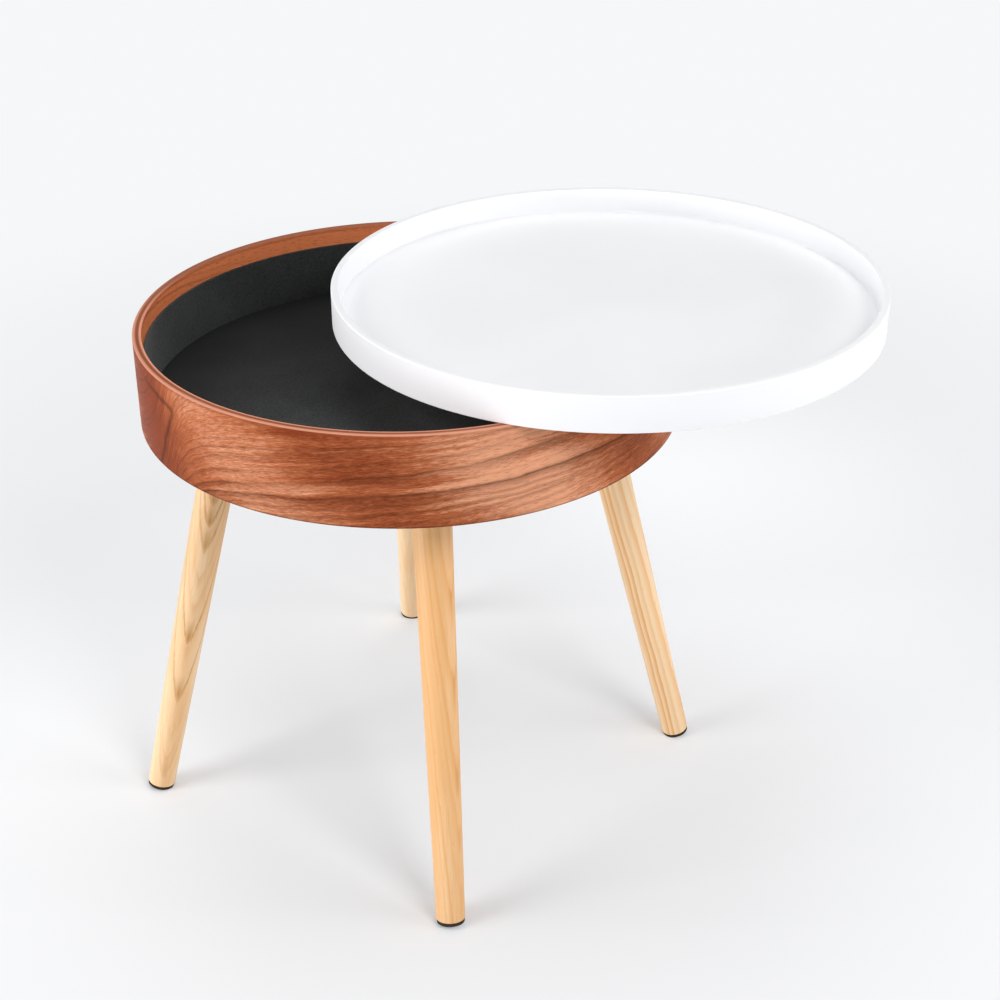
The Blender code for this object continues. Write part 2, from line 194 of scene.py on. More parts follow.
class Finish:
    """A material whose nodes are made by short calls, most of which return the socket with the result."""

    def __init__(self, name):
        self.material = bpy.data.materials.new(name)
        self.material.use_nodes = True
        self.tree = self.material.node_tree
        self.shader = self.tree.nodes["Principled BSDF"]

    def node(self, kind, inputs=None, **settings):
        made = self.tree.nodes.new(kind)
        for setting, value in settings.items():
            setattr(made, setting, value)
        for socket, value in (inputs or {}).items():
            self.feed(made.inputs[socket], value)
        return made

    def feed(self, socket, value):
        if isinstance(value, bpy.types.NodeSocket):
            self.tree.links.new(value, socket)
        elif socket.type == "RGBA" and len(value) == 3:
            socket.default_value = (*value, 1.0)
        else:
            socket.default_value = value

    def math(self, operation, first, second=0.0, third=0.0):
        return self.node("ShaderNodeMath", {0: first, 1: second, 2: third}, operation=operation).outputs[0]

    def add(self, first, second):
        return self.math("ADD", first, second)

    def times(self, first, second):
        return self.math("MULTIPLY", first, second)

    def minus(self, first, second):
        return self.math("SUBTRACT", first, second)

    def larger(self, first, second):
        return self.math("MAXIMUM", first, second)

    def absolute(self, value):
        return self.math("ABSOLUTE", value)

    def remap(self, value, low, high, to_low=0.0, to_high=1.0, smooth=True):
        """Maps a value from one range to another and stops at its ends."""
        kind = "SMOOTHSTEP" if smooth else "LINEAR"
        inputs = {"Value": value, "From Min": low, "From Max": high, "To Min": to_low, "To Max": to_high}
        return self.node("ShaderNodeMapRange", inputs, interpolation_type=kind).outputs["Result"]

    def vector(self, x, y, z=0.0):
        return self.node("ShaderNodeCombineXYZ", {0: x, 1: y, 2: z}).outputs[0]

    def object_place(self):
        """The point's place in its object's own space, as a vector and as x, y and z."""
        place = self.node("ShaderNodeTexCoord").outputs["Object"]
        split = self.node("ShaderNodeSeparateXYZ", {0: place})
        return place, split.outputs[0], split.outputs[1], split.outputs[2]

    def noise(self, vector, scale, detail=3.0, roughness=0.55, distortion=0.0):
        inputs = {"Vector": vector, "Scale": scale, "Detail": detail, "Roughness": roughness,
                  "Distortion": distortion}
        return self.node("ShaderNodeTexNoise", inputs).outputs["Fac"]

    def stretched_noise(self, x, y, z, scales, detail=3.0, roughness=0.55):
        """Noise with its own number of cycles per metre along each direction."""
        stretched = self.vector(*(self.times(part, scale) for part, scale in zip((x, y, z), scales)))
        return self.noise(stretched, 1.0, detail, roughness)

    def mix(self, factor, first, second):
        """A colour between two; the node's sockets for colours are its inputs 6 and 7 and its output 2."""
        return self.node("ShaderNodeMix", {0: factor, 6: first, 7: second}, data_type="RGBA").outputs[2]

    def ramp(self, factor, stops):
        """A curve of grey values through (place, value) stops."""
        made = self.node("ShaderNodeValToRGB", {0: factor})
        elements = made.color_ramp.elements
        while len(elements) < len(stops):
            elements.new(0.5)
        for element, (place, value) in zip(elements, stops):
            element.position = place
            element.color = (value, value, value, 1.0)
        return made.outputs[0]

    def bump(self, height, distance, strength=1.0):
        inputs = {"Height": height, "Distance": distance, "Strength": strength}
        return self.node("ShaderNodeBump", inputs).outputs[0]

    def finish(self, **sockets):
        """Feeds the shader's sockets, by the words that SOCKET_NAMES gives them."""
        for name, value in sockets.items():
            self.feed(self.shader.inputs[SOCKET_NAMES[name]], value)
        return self.material


SOCKET_NAMES = {
    "colour": "Base Color",
    "roughness": "Roughness",
    "metallic": "Metallic",
    "normal": "Normal",
    "specular": "Specular IOR Level",
    "specular_tint": "Specular Tint",
    "anisotropic": "Anisotropic",
    "anisotropic_turn": "Anisotropic Rotation",
    "tangent": "Tangent",
    "sheen": "Sheen Weight",
    "sheen_roughness": "Sheen Roughness",
    "sheen_tint": "Sheen Tint",
    "glow_colour": "Emission Color",
    "glow": "Emission Strength",
}


# Finishes

def walnut_lines(finish, along, up, level, ripple, height):
    """How strongly the growth lines show: the main ones, the thin ones between them and the hooked one."""
    upper_side_from = -0.0026
    upper_side_to = 0.0004
    core_width = 0.0032
    core_darkness = 0.85
    shade_darkness = 0.55
    stray_rings = 1.6
    thin_line = ((0.0, 0.2), (0.15, 0.0), (0.55, 0.1), (0.9, 1.0), (1.0, 0.4))
    hook_ripple = 0.010
    hook_narrow = 0.0004
    hook_wide = 0.0046
    hook_darkness = 0.65

    patchy = finish.stretched_noise(along, level, 4.0, (9.0, 40.0, 1.0), 2.0)
    patchy = finish.remap(patchy, 0.32, 0.62, 0.45, 1.0)
    front_lift = GRAIN_TIP_STEP * math.atan(-GRAIN_TIP / GRAIN_TIP_WIDTH)
    lines = 0.0
    for depth, rise, softness, darkness in MAIN_LINES:
        line_level = finish.add(finish.times(along, rise - GRAIN_RISE), height - depth - front_lift)
        below = finish.minus(line_level, level)
        upper_side = finish.remap(below, upper_side_from, upper_side_to)
        core = finish.remap(below, 0.0, core_width, core_darkness * darkness, 0.0)
        shade = finish.remap(below, 0.0, softness, shade_darkness * darkness, 0.0)
        line = finish.larger(finish.times(upper_side, core), finish.times(upper_side, shade))
        lines = finish.larger(lines, line)

    stray = finish.noise(finish.vector(finish.times(level, 55.0), 7.3), 1.0, 1.0)
    rings = finish.add(finish.times(level, 1 / THIN_LINE_SPACING), finish.times(stray, stray_rings))
    thin = finish.ramp(finish.math("FRACT", rings), thin_line)
    strength = finish.noise(finish.vector(finish.math("FLOOR", rings), 3.1), 0.83, 0.0)
    thin = finish.times(thin, finish.remap(strength, 0.35, 0.68, 0.05, 0.48))
    lines = finish.times(finish.larger(lines, thin), patchy)

    right_of_hook = finish.minus(along, finish.add(finish.times(up, HOOK_LEAN), HOOK_FOOT))
    over_hook = finish.add(finish.times(along, HOOK_FALL), -HOOK_CORNER * HOOK_FALL - HOOK_TOP)
    hook = finish.math("SMOOTH_MAX", right_of_hook, finish.add(up, over_hook), HOOK_CORNER_ROUND)
    hook = finish.add(hook, finish.times(finish.minus(ripple, 0.5), hook_ripple))
    hook_line = finish.remap(finish.absolute(hook), hook_narrow, hook_wide, hook_darkness, 0.0)
    hook_line = finish.times(hook_line, finish.remap(along, HOOK_FADE_FROM, HOOK_FADE_TO))
    return finish.larger(lines, hook_line)


def walnut_tone(finish, angle, along, up, level, height):
    """How pale the veneer is, by its zones of painted highlights, its bands along the growth lines and its
    grain, and its fibres.

    The painted highlights fade out round the back, where the veneer's ends meet in a seam. A painted tilt
    makes the right side paler and the left side darker, as light falls on them.
    """
    streak_reach = 0.24
    highlight_contrast = 0.31
    painted_light_tilt = 0.37
    tip_paleness = 0.21
    right_end_depth = 0.28
    back_calm = 0.8

    round_front = finish.remap(finish.absolute(angle), ZONE_FADE_FROM, ZONE_FADE_TO, 1.0, 0.0)
    beside_tip = finish.absolute(finish.add(along, -0.9 * GRAIN_TIP))
    calm = finish.remap(beside_tip, 0.01, 0.08, 0.25, 1.0)
    calm = finish.math("MINIMUM", calm, finish.remap(along, PALE_ZONE, PALE_ZONE + 0.06, 1.0, 0.3))
    calm = finish.node("ShaderNodeMix", {0: round_front, 2: back_calm, 3: calm}).outputs[0]
    streak = finish.stretched_noise(level, along, 9.0, (80.0, 4.0, 1.0), 3.0, 0.6)
    streak = finish.times(finish.minus(streak, 0.5), finish.times(calm, streak_reach))
    slanted = finish.add(along, finish.times(up, ZONE_SLANT))
    swing = finish.minus(finish.add(slanted, streak), PALE_ZONE + 0.5 * ZONE_SLANT * height)
    swing = finish.times(swing, 2 * math.pi / ZONE_PITCH)
    drift = finish.stretched_noise(along, up, 11.0, (7.0, 14.0, 1.0), 2.0)
    # Painted highlights: the pale zones stand for the lamps' highlights on the satin veneer
    tone_and_painted_light = finish.times(finish.math("COSINE", swing), highlight_contrast)
    # Painted light: paler towards the right side and darker towards the left, as light falls on the drum
    tone_and_painted_light = finish.add(tone_and_painted_light, finish.times(finish.math("SINE", finish.times(angle, 1.5)), painted_light_tilt))
    tone_and_painted_light = finish.add(tone_and_painted_light, finish.remap(beside_tip, 0.0, 0.075, tip_paleness, 0.0))
    right_end = finish.remap(along, PALE_ZONE + 0.018, PALE_ZONE + 0.052, 0.0, -right_end_depth)
    tone_and_painted_light = finish.add(tone_and_painted_light, right_end)
    tone_and_painted_light = finish.add(finish.times(tone_and_painted_light, round_front), finish.times(drift, 0.4))

    bands = finish.stretched_noise(level, along, 15.0, (75.0, 3.0, 1.0), 3.0, 0.6)
    bands = finish.add(finish.times(finish.minus(bands, 0.5), calm), 0.5)
    mottle = finish.stretched_noise(along, level, 21.0, (60.0, 260.0, 1.0), 3.0, 0.6)
    grain = finish.stretched_noise(along, level, 27.0, (150.0, 800.0, 1.0), 3.0, 0.65)
    fibre = finish.stretched_noise(along, level, 31.0, (90.0, 1300.0, 1.0), 4.0, 0.65)
    tone = finish.add(tone_and_painted_light, finish.times(bands, 0.9))
    tone = finish.add(tone, finish.add(finish.times(mottle, 0.4), finish.times(grain, 0.8)))
    tone = finish.add(tone, finish.times(fibre, 0.8))
    return tone, fibre


def walnut_edges(finish, colour, angle, reach, z, radius, wall, height):
    """Colours the rim with its glue line, painted highlights on its edges, the painted shade under it, the
    lower edge, and the seam at the back.

    The rim's painted edge highlights and its glue line show round the front and fade towards the back.
    """
    glue_line_depth = 0.0044
    glue_line_darkness = 0.55
    rim_strength = 0.9
    under_rim_strength = 0.35
    seam_width = 0.0004

    top = finish.remap(z, height - 0.0012, height - 0.0004)
    # Painted highlights: this is no wear, but the share of the painted edge highlights and the glue line
    # that shows, full round the front and none at the back
    worn = finish.remap(finish.absolute(angle), 1.4, 2.1, 1.0, 0.0)
    # Painted highlights: the outer and inner rounded edges of the rim are painted pale
    outer = finish.remap(reach, radius - 0.0032, radius - 0.0018, 0.0, 0.8)
    inner = finish.remap(reach, radius - wall + 0.0028, radius - wall + 0.0014)
    glue_line = finish.absolute(finish.add(reach, glue_line_depth - radius))
    glue_line = finish.remap(glue_line, 0.0002, 0.0013, glue_line_darkness, 0.0)
    rim = finish.mix(finish.times(finish.larger(outer, inner), worn), WALNUT_EDGE, WALNUT_RIM_HIGHLIGHT)
    rim = finish.mix(finish.times(glue_line, worn), rim, WALNUT_DEEP)
    colour = finish.mix(finish.times(top, rim_strength), colour, rim)
    under_rim = finish.remap(z, height - 0.0040, height - 0.0022)
    under_rim = finish.times(under_rim, finish.minus(1.0, top))
    colour = finish.mix(finish.times(under_rim, under_rim_strength), colour, WALNUT_DEEP)
    seam = finish.remap(finish.absolute(angle), math.pi - seam_width / radius, math.pi, 0.0, 0.8)
    lower_edge = finish.remap(z, 0.0008, 0.0020, 0.7, 0.0)
    return finish.mix(finish.larger(seam, lower_edge), colour, WALNUT_LINE)


def walnut(radius, wall, height):
    """Flat-cut walnut veneer: its growth lines run along the hoop and climb steeply at one place, the tip.

    In the hoop's own space, z is up from the lower edge. The inner band is a piece of veneer of its own,
    more even and more orange, and it is painted paler, which stands for light that the shaded inside of the
    drum lacks.
    """
    deep_tone = 1.17
    middle_tone = 1.57
    pale_tone = 2.01
    inside_share = 0.85
    line_strength = 0.95
    pore_strength = 0.45

    finish = Finish("walnut_veneer")
    _, x, y, z = finish.object_place()
    angle = finish.math("ARCTAN2", x, finish.times(y, -1.0))
    along = finish.times(angle, radius)
    reach = finish.math("SQRT", finish.add(finish.times(x, x), finish.times(y, y)))
    up = finish.add(z, finish.minus(radius, reach))

    climb = finish.math("ARCTANGENT", finish.times(finish.minus(along, GRAIN_TIP), 1 / GRAIN_TIP_WIDTH))
    lift = finish.add(finish.times(along, GRAIN_RISE), finish.times(climb, GRAIN_TIP_STEP))
    sway = finish.stretched_noise(along, up, 0.0, (6.0, 9.0, 0.0), 2.0)
    ripple = finish.stretched_noise(along, up, 0.0, (24.0, 60.0, 0.0), 3.0)
    bend = finish.add(finish.times(sway, GRAIN_SWAY), finish.times(ripple, GRAIN_RIPPLE))
    level = finish.add(finish.minus(up, lift), finish.minus(bend, (GRAIN_SWAY + GRAIN_RIPPLE) / 2))

    lines = walnut_lines(finish, along, up, level, ripple, height)
    tone, fibre = walnut_tone(finish, angle, along, up, level, height)
    pores = finish.stretched_noise(along, level, 41.0, (120.0, 2400.0, 1.0), 2.0, 0.5)
    pores = finish.remap(pores, 0.55, 0.66)
    pale = finish.remap(tone, middle_tone, pale_tone, smooth=False)
    deep = finish.remap(tone, middle_tone, deep_tone, smooth=False)
    # Painted light: the inner band is painted paler, standing for light that the shaded inside of the drum
    # lacks
    inside = finish.remap(reach, radius - 0.7 * wall, radius - 0.5 * wall, inside_share, 0.0)
    colour = finish.mix(pale, WALNUT_MIDDLE, WALNUT_LIGHT)
    colour = finish.mix(deep, colour, WALNUT_DEEP)
    colour = finish.mix(inside, colour, WALNUT_INSIDE)
    colour = finish.mix(finish.times(lines, line_strength), colour, WALNUT_LINE)
    colour = finish.mix(finish.times(pores, pore_strength), colour, WALNUT_LINE)
    colour = walnut_edges(finish, colour, angle, reach, z, radius, wall, height)

    rough = finish.remap(fibre, 0.3, 0.7, 0.42, 0.54)
    relief = finish.minus(finish.times(fibre, 0.35), pores)
    tangent = finish.node("ShaderNodeTangent", direction_type="RADIAL", axis="Z").outputs[0]
    return finish.finish(colour=colour, roughness=rough, normal=finish.bump(relief, 0.00006, 0.6),
                         specular=0.03, specular_tint=(1.0, 0.80, 0.66), anisotropic=0.6,
                         anisotropic_turn=0.25, tangent=tangent)


def ash_rings(finish, x, y, z, lean):
    """The level of a point among the growth rings: without and with the rings' slow sway."""
    arch_point = 0.15
    point_round = 0.0007
    ripple_size = 0.0009
    fray_size = 0.0012
    sway_size = 0.0060

    sway = finish.stretched_noise(x, y, z, (12.0, 12.0, 7.0), 2.0)
    ripple = finish.stretched_noise(x, y, z, (90.0, 90.0, 26.0), 3.0)
    fray = finish.stretched_noise(x, y, z, (800.0, 800.0, 40.0), 2.0, 0.6)
    off = finish.add(x, PITH_DISTANCE)
    across = finish.times(y, y)
    reach = finish.math("SQRT", finish.add(finish.times(off, off), across))
    point = finish.math("SQRT", finish.add(across, point_round ** 2))
    level = finish.minus(reach, finish.times(point, arch_point))
    level = finish.add(level, finish.times(z, lean))
    for wave, size in ((ripple, ripple_size), (fray, fray_size)):
        level = finish.add(level, finish.times(finish.minus(wave, 0.5), size))
    return level, finish.add(level, finish.times(finish.minus(sway, 0.5), sway_size))


def ash(side, foot_radius, taper):
    """Solid pale ash: growth rings about a pith beside the leg, which lean against its axis.

    They show as pointed arches. In the leg's own space, z runs up its axis and the widest rings face x.
    """
    crest_width = 0.0050
    uneven_rings = 1.3
    outline_narrow = 0.0001
    outline_wide = 0.0007
    outline_darkness = 0.65
    heart_reach = 0.0032
    pore_strength = 0.35
    ring_line = ((0.0, 0.30), (0.10, 0.05), (0.60, 0.05), (0.88, 0.50), (0.97, 1.0))
    ring_flame = ((0.0, 0.70), (0.06, 0.25), (0.20, 0.0), (0.45, 0.12), (0.78, 0.75), (0.95, 1.0))
    early_wood = ((0.0, 1.0), (0.22, 0.75), (0.42, 0.0), (1.0, 0.15))
    _, lean, ring_spacing, contrast, softness, paleness = LEG_GRAINS[side]

    finish = Finish(f"pale_ash_{side}")
    _, x, y, z = finish.object_place()
    arch_field, level = ash_rings(finish, x, y, z, lean)
    uneven = finish.noise(finish.vector(finish.times(level, 110.0), 2.9), 1.0, 1.0)
    rings = finish.add(finish.times(level, 1 / ring_spacing), finish.times(uneven, uneven_rings))
    part_of_ring = finish.math("FRACT", rings)
    strength = finish.noise(finish.vector(finish.math("FLOOR", rings), 5.7), 0.77, 0.0)
    strength = finish.remap(strength, 0.38, 0.62, 0.35, 1.0)
    line = finish.ramp(part_of_ring, ring_line)
    flame = finish.ramp(part_of_ring, ring_flame)
    early = finish.ramp(part_of_ring, early_wood)
    crest = finish.remap(finish.absolute(y), 0.0, crest_width, 1.0, 0.0)
    warm = finish.times(finish.times(flame, strength), contrast * (0.4 + 0.6 * softness))
    late = finish.larger(finish.times(line, 0.6 - 0.5 * softness), finish.times(flame, crest))
    late = finish.times(finish.times(late, strength), contrast * (1 - 0.6 * softness))
    for height, arch_strength in LEG_ARCHES.get(side, ()):
        arch_level = PITH_DISTANCE + foot_radius + (taper + lean) * height
        above = finish.minus(arch_field, arch_level)
        outline = finish.remap(finish.absolute(above), outline_narrow, outline_wide,
                               outline_darkness * arch_strength, 0.0)
        heart = finish.times(finish.remap(above, -0.0004, 0.0003),
                             finish.remap(above, 0.0, heart_reach, 1.0, 0.0))
        heart = finish.times(heart, finish.times(crest, arch_strength))
        late = finish.larger(late, finish.larger(outline, heart))

    broad = finish.stretched_noise(x, y, z, (45.0, 45.0, 5.0), 2.0)
    fibre = finish.stretched_noise(x, y, z, (1100.0, 1100.0, 30.0), 3.0, 0.6)
    pores = finish.stretched_noise(x, y, z, (2400.0, 2400.0, 110.0), 2.0, 0.5)
    pores = finish.times(finish.remap(pores, 0.58, 0.70), early)
    tone = finish.add(finish.times(broad, 0.9), finish.times(fibre, 0.45))
    # Painted light: each leg's paleness also stands for how brightly that leg is lit
    pale = finish.remap(tone, 0.48 - paleness, 0.88 - paleness, smooth=False)
    colour = finish.mix(pale, ASH_MIDDLE, ASH_LIGHT)
    colour = finish.mix(warm, colour, ASH_WARM)
    colour = finish.mix(late, colour, ASH_LATE)
    colour = finish.mix(finish.times(pores, pore_strength), colour, ASH_LATE)
    rough = finish.remap(fibre, 0.3, 0.7, 0.40, 0.50)
    grain = finish.minus(finish.times(fibre, 0.3), pores)
    return finish.finish(colour=colour, roughness=rough, normal=finish.bump(grain, 0.00005, 0.6),
                         specular=0.4)


def white_lacquer():
    """Sprayed satin lacquer: nearly even, with a faint orange-peel surface."""
    finish = Finish("white_satin_lacquer")
    place, *_ = finish.object_place()
    cloud = finish.noise(place, 6.0, 3.0)
    peel = finish.noise(place, 260.0, 1.0, 0.4)
    colour = finish.mix(finish.remap(cloud, 0.35, 0.65), LACQUER_SHADE, LACQUER_WHITE)
    rough = finish.remap(cloud, 0.35, 0.65, 0.44, 0.50)
    return finish.finish(colour=colour, roughness=rough, normal=finish.bump(peel, 0.00002, 0.2),
                         specular=0.45)


def black_lining(name, black, fibre_tone, painted_light):
    """Flocked black lining: short fibres and a soft nap, with painted light: paler, with more sheen, to the
    front and right.
    """
    sheen_share = 0.12
    to_right, to_front, palest = painted_light
    finish = Finish(name)
    place, x, y, _ = finish.object_place()
    nap = finish.noise(place, 14.0, 4.0, 0.6)
    clump = finish.noise(place, 420.0, 3.0, 0.6)
    fibre = finish.noise(place, 2600.0, 3.0, 0.7, 1.5)
    tone = finish.add(finish.times(clump, 0.65), finish.times(fibre, 0.4))
    tone = finish.add(finish.times(nap, 0.45), tone)
    colour = finish.mix(finish.remap(tone, 0.60, 0.94, smooth=False), black, fibre_tone)
    # Painted light: the colour is scaled paler, and the sheen stronger, towards the front and the right,
    # where the tray and the drum's wall shade the lining
    paler = finish.math("EXPONENT", finish.add(finish.times(x, to_right), finish.times(y, -to_front)))
    paler = finish.math("MINIMUM", paler, palest)
    scaled = finish.node("ShaderNodeVectorMath", {0: colour, "Scale": paler}, operation="SCALE")
    height = finish.add(finish.times(clump, 0.4), fibre)
    rough = finish.remap(tone, 0.5, 1.0, 0.86, 0.96)
    return finish.finish(colour=scaled.outputs[0], roughness=rough,
                         normal=finish.bump(height, 0.00025, 0.7), specular=0.25,
                         sheen=finish.times(paler, sheen_share), sheen_roughness=0.5,
                         sheen_tint=(0.8, 0.82, 0.82))


def base_board():
    """Black-stained board: straight faint grain under a thin stain, a little worn."""
    finish = Finish("black_stained_board")
    _, x, y, z = finish.object_place()
    grain = finish.stretched_noise(x, y, z, (14.0, 420.0, 420.0), 4.0, 0.6)
    cloud = finish.stretched_noise(x, y, z, (9.0, 9.0, 9.0), 3.0)
    worn = finish.remap(finish.add(finish.times(grain, 0.7), finish.times(cloud, 0.4)), 0.42, 0.74)
    rough = finish.remap(grain, 0.3, 0.7, 0.52, 0.68)
    return finish.finish(colour=finish.mix(worn, BOARD_BLACK, BOARD_WORN), roughness=rough,
                         normal=finish.bump(grain, 0.0001, 0.5), specular=0.4)


def dark_glide():
    """Pressed felt pad."""
    finish = Finish("dark_felt_pad")
    place, *_ = finish.object_place()
    fibre = finish.noise(place, 1900.0, 4.0, 0.7, 1.2)
    clump = finish.noise(place, 420.0, 3.0)
    tone = finish.add(finish.times(fibre, 0.6), finish.times(clump, 0.5))
    colour = finish.mix(finish.remap(tone, 0.40, 0.75, smooth=False), GLIDE_DARK, GLIDE_FIBRE)
    rough = finish.remap(tone, 0.35, 0.75, 0.82, 0.95)
    return finish.finish(colour=colour, roughness=rough, normal=finish.bump(tone, 0.0002, 0.8),
                         specular=0.25)


def zinc_steel():
    """Zinc-plated steel: small crystals of unlike brightness and fine scratches."""
    finish = Finish("zinc_plate")
    place, x, y, z = finish.object_place()
    cells = finish.node("ShaderNodeTexVoronoi", {"Vector": place, "Scale": 520.0}).outputs["Color"]
    crystal = finish.node("ShaderNodeSeparateColor", {0: cells}).outputs[0]
    scratch = finish.stretched_noise(x, y, z, (2200.0, 90.0, 90.0), 3.0, 0.6)
    tone = finish.add(finish.times(crystal, 0.5), finish.times(scratch, 0.5))
    rough = finish.remap(tone, 0.2, 0.8, 0.26, 0.44)
    return finish.finish(colour=finish.mix(tone, ZINC_DARK, ZINC_LIGHT), roughness=rough, metallic=1.0,
                         normal=finish.bump(scratch, 0.00002, 0.4))


# Mesh code

def arc(centre, radius, start, end, steps=ROUND_FACETS):
    """Profile points along an arc, both ends included; angles in degrees, anticlockwise from outwards."""
    angles = np.radians(np.linspace(start, end, steps + 1))
    return [(centre[0] + radius * math.cos(a), centre[1] + radius * math.sin(a)) for a in angles]


def lathe(name, profile, facets, ring=False):
    """A mesh turned about Z from (radius, height) points, which run clockwise with outwards to the right.

    A ring's profile is closed; any other starts and ends on the axis.
    """
    shape = bmesh.new()
    rows = []
    for radius, height in profile:
        if radius == 0:
            rows.append([shape.verts.new((0, 0, height))] * facets)
            continue
        turns = (2 * math.pi * step / facets for step in range(facets))
        rows.append([shape.verts.new((radius * math.cos(t), radius * math.sin(t), height)) for t in turns])
    pairs = list(zip(rows, rows[1:]))
    if ring:
        pairs.append((rows[-1], rows[0]))
    for upper, lower in pairs:
        for step in range(facets):
            beside = (step + 1) % facets
            corners = [upper[step], lower[step], lower[beside], upper[beside]]
            shape.faces.new(list(dict.fromkeys(corners)))
    mesh = bpy.data.meshes.new(name)
    shape.to_mesh(mesh)
    shape.free()
    return mesh


def add_piece(name, mesh, material, place, body, slot, *nodes):
    """A piece of the table that rides on a body and stands for CAD nodes."""
    mesh.shade_smooth()
    mesh.set_sharp_from_angle(angle=SHARP_ANGLE)
    mesh.materials.clear()
    mesh.materials.append(material)
    piece = bpy.data.objects.new(name, mesh)
    bpy.context.scene.collection.objects.link(piece)
    piece.matrix_world = place
    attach(piece, body)
    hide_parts(*nodes)
    return piece


def disc_place(node):
    """The middle of a round node's underside, its radius and its height."""
    low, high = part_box(node)
    middle = (low + high) / 2
    return Vector((middle.x, middle.y, low.z)), (high.x - low.x) / 2, high.z - low.z


def node_points(node):
    mesh = frame["nodes"][node].data
    points = np.empty(len(mesh.vertices) * 3)
    mesh.vertices.foreach_get("co", points)
    return points.reshape(-1, 3)


def distances(points, middle):
    """How far points are from the upright axis through a place."""
    return np.hypot(points[:, 0] - middle.x, points[:, 1] - middle.y)


# Drum

def build_drum(finishes):
    """The veneered hoop, its lining and the mat on its floor."""
    place, radius, height = disc_place("drum_hoop")
    at = Matrix.Translation(place)
    liner_place, liner_radius, liner_height = disc_place("drum_liner")
    mat_place, mat_radius, mat_height = disc_place("floor_mat")
    inside = distances(node_points("drum_hoop"), place).min()
    rebate_top = liner_place.z - place.z
    rebate_radius = inside + DRUM_REBATE

    profile = arc((inside + RIM_ROUND, height - RIM_ROUND), RIM_ROUND, 180, 90)
    profile += arc((radius - RIM_ROUND, height - RIM_ROUND), RIM_ROUND, 90, 0)
    profile += arc((radius - LOWER_EDGE_ROUND, LOWER_EDGE_ROUND), LOWER_EDGE_ROUND, 0, -90,
                   SMALL_ROUND_FACETS)
    profile += [(rebate_radius, 0), (rebate_radius, rebate_top), (inside, rebate_top)]
    add_piece("drum_veneered_hoop", lathe("drum_veneered_hoop", profile, HOOP_FACETS, True),
              walnut(radius, radius - inside, height), at, "table", "walnut", "drum_hoop")

    liner_inside = mat_radius + LINER_GAP
    middle = (liner_radius + liner_inside) / 2
    profile = arc((liner_inside + LINER_ROUND, liner_height - LINER_ROUND), LINER_ROUND, 180, 90)
    profile += arc((liner_radius - LINER_ROUND, liner_height - LINER_ROUND), LINER_ROUND, 90, 0)
    profile += [(liner_radius, 0), (middle, 0), (liner_inside, 0)]
    add_piece("drum_lining", lathe("drum_lining", profile, HOOP_FACETS, True), finishes["black_lining"],
              Matrix.Translation(liner_place), "table", "black_lining", "drum_liner")

    profile = [(0, mat_height), (mat_radius / 2, mat_height)]
    profile += arc((mat_radius - MAT_ROUND, mat_height - MAT_ROUND), MAT_ROUND, 90, 0)
    profile += [(mat_radius, 0), (0, 0)]
    add_piece("compartment_mat", lathe("compartment_mat", profile, HOOP_FACETS), finishes["black_mat"],
              Matrix.Translation(mat_place), "table", "black_lining", "floor_mat")


# Tray

def build_tray(finishes):
    """The lacquered hoop with its rounded rim, a fillet of lacquer at its foot, and the flat panel."""
    place, radius, height = disc_place("tray_hoop")
    panel_place, panel_radius, panel_height = disc_place("tray_panel")
    inside = radius - TRAY_WALL
    floor = panel_height
    points = node_points("tray_panel")
    upper_points = points[points[:, 2] > panel_place.z + 0.9 * panel_height]
    face = distances(upper_points, place).max()
    tongue = sorted({round(float(z), 5) for z in points[:, 2] - panel_place.z})[1]
    gap = inside - face

    profile = arc((inside + TRAY_RIM_ROUND, height - TRAY_RIM_ROUND), TRAY_RIM_ROUND, 180, 90)
    profile += arc((radius - TRAY_RIM_ROUND, height - TRAY_RIM_ROUND), TRAY_RIM_ROUND, 90, 0)
    profile += arc((radius - TRAY_LOWER_ROUND, TRAY_LOWER_ROUND), TRAY_LOWER_ROUND, 0, -90,
                   SMALL_ROUND_FACETS)
    profile += [(panel_radius + gap, 0), (panel_radius + gap, tongue + gap)]
    profile += [(inside, tongue + gap), (inside, floor)]
    profile += arc((inside - TRAY_FILLET, floor + TRAY_FILLET), TRAY_FILLET, -80, 0, SMALL_ROUND_FACETS)
    add_piece("tray_lacquered_hoop", lathe("tray_lacquered_hoop", profile, HOOP_FACETS, True),
              finishes["white_lacquer"], Matrix.Translation(place), "tray", "white_lacquer", "tray_hoop")

    profile = [(0, floor), (face / 2, floor), (face, floor), (face, tongue), (panel_radius, tongue)]
    profile += [(panel_radius, 0), (0, 0)]
    add_piece("tray_lacquered_panel", lathe("tray_lacquered_panel", profile, HOOP_FACETS),
              finishes["white_lacquer"], Matrix.Translation(panel_place),
              "tray", "white_lacquer", "tray_panel")


# Legs

def leg_axis(side, drum_middle):
    """A leg's own frame, with Z up its axis from its foot and X outwards, and its length and end radii."""
    points = node_points(f"leg_{side}")
    middle = points.mean(0)
    along = np.linalg.svd(points - middle, full_matrices=False)[2][0]
    along *= math.copysign(1.0, along[2])
    reach = (points - middle) @ along
    across = np.linalg.norm(points - middle - np.outer(reach, along), axis=1)
    length = reach.max() - reach.min()
    foot_radius = across[reach < reach.min() + 0.1 * length].max()
    top_radius = across[reach > reach.max() - 0.05 * length].max()
    up = Vector(along)
    foot = Vector(middle) + up * reach.min()
    outwards = Vector((foot.x - drum_middle.x, foot.y - drum_middle.y, 0))
    outwards = (outwards - up * outwards.dot(up)).normalized()
    turn = Matrix((outwards, up.cross(outwards), up)).transposed().to_4x4()
    return Matrix.Translation(foot) @ turn, length, foot_radius, top_radius


